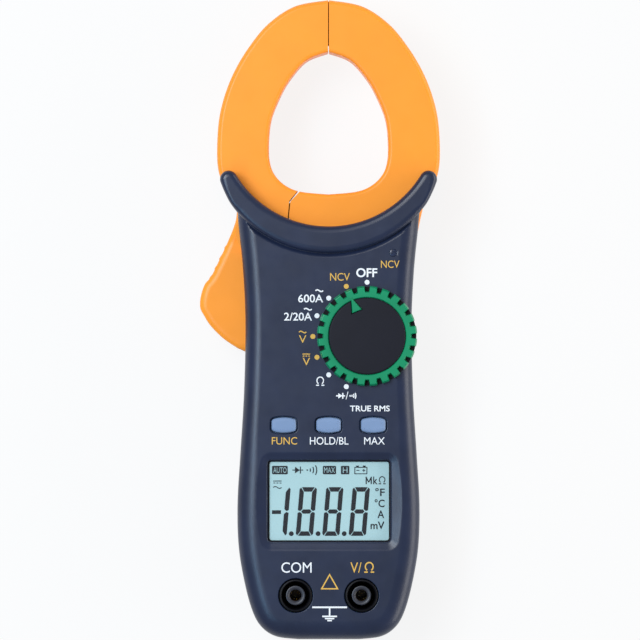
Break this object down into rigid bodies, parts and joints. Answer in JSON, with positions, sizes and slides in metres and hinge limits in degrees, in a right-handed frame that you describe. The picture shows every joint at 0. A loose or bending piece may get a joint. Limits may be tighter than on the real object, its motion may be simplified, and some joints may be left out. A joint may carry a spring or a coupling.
{
  "type": "clamp meter",
  "caption": "Hand-held clamp meter with a sprung opening jaw and trigger, toothed range dial, push buttons, display window and shrouded input jacks.",
  "frame": {"origin": "centreline of the case's back, on the flat face it rests on, level with the button row", "axes": "+X to the right seen from the front, +Y towards the jaws, +Z out of the display face"},
  "size_m": [0.0782, 0.208, 0.035],
  "materials": {
    "case_blue": "fine moulded texture",
    "jaw_orange": "satin",
    "dial_green": "satin",
    "dial_black": "satin",
    "button_grey_blue": "matt",
    "window_clear": "clear, polished",
    "lcd_glass": "satin",
    "white_plastic": "satin",
    "black_plastic": "satin",
    "zebra_rubber": "matt",
    "steel": "plated",
    "core_steel": "laminated",
    "copper_winding": "enamelled wire",
    "brass": "turned",
    "circuit_board": "solder mask",
    "cell_jacket": "satin",
    "ptc_ceramic": "dipped",
    "led_red": "clear tinted"
  },
  "bodies": {
    "case": {"front_case": "case_blue", "rear_case": "case_blue", "battery_cover": "case_blue", "battery_cover_screw": "steel", "case_screw_1": "steel", "case_screw_2": "steel", "case_screw_3": "steel", "case_screw_4": "steel", "fixed_jaw_front": "jaw_orange", "fixed_jaw_back": "jaw_orange", "fixed_jaw_core": "core_steel", "fixed_jaw_coil": "copper_winding", "pivot_sleeve": "steel", "jaw_spring": "steel", "lcd_window": "window_clear", "lcd_panel": "lcd_glass", "lcd_backlight": "white_plastic", "lcd_frame": "black_plastic", "zebra_strip": "zebra_rubber", "tact_switch_1": "black_plastic", "tact_switch_2": "black_plastic", "tact_switch_3": "black_plastic", "jack_shroud_com": "black_plastic", "jack_shroud_vohm": "black_plastic", "jack_socket_com": "brass", "jack_socket_vohm": "brass", "main_board": "circuit_board", "board_screw_1": "steel", "board_screw_2": "steel", "board_screw_3": "steel", "meter_chip": "black_plastic", "crystal": "steel", "buzzer": "black_plastic", "ptc_thermistor": "ptc_ceramic", "ncv_led": "led_red", "battery_1": "cell_jacket", "battery_2": "cell_jacket", "battery_3": "cell_jacket", "battery_contact_low": "steel", "battery_contact_high": "steel", "battery_spring_1": "steel", "battery_spring_2": "steel", "battery_spring_3": "steel"},
    "moving_jaw": {"moving_jaw_front": "jaw_orange", "moving_jaw_back": "jaw_orange", "moving_jaw_core": "core_steel", "moving_jaw_coil": "copper_winding"},
    "dial": {"range_dial": "dial_green", "dial_cap": "dial_black", "contact_rotor": "white_plastic", "rotor_wiper": "brass", "detent_ball_1": "steel", "detent_ball_2": "steel", "detent_spring_1": "steel", "detent_spring_2": "steel"},
    "func_button": {"button_func": "button_grey_blue"},
    "hold_button": {"button_hold": "button_grey_blue"},
    "max_button": {"button_max": "button_grey_blue"}
  },
  "joints": [
    {"name": "jaw_open", "type": "hinge", "parent": "case", "child": "moving_jaw", "pos_m": [-0.0213, 0.0644, 0.016], "axis": [0, 0, 1], "range_deg": [0, 22], "stiffness_Nm_per_rad": 1, "springref_deg": -17.19, "deforming": ["jaw_spring"]},
    {"name": "dial_turn", "type": "hinge", "parent": "case", "child": "dial", "pos_m": [0.0125, 0.0306, 0.0315], "axis": [0, 0, 1], "range_deg": [-22.5, 135]},
    {"name": "button_func_press", "type": "slide", "parent": "case", "child": "func_button", "axis": [0, 0, -1], "range_m": [0, 0.0008], "stiffness_N_per_m": 400, "springref_m": -0.0005},
    {"name": "button_hold_press", "type": "slide", "parent": "case", "child": "hold_button", "axis": [0, 0, -1], "range_m": [0, 0.0008], "stiffness_N_per_m": 400, "springref_m": -0.0005},
    {"name": "button_max_press", "type": "slide", "parent": "case", "child": "max_button", "axis": [0, 0, -1], "range_m": [0, 0.0008], "stiffness_N_per_m": 400, "springref_m": -0.0005}
  ]
}
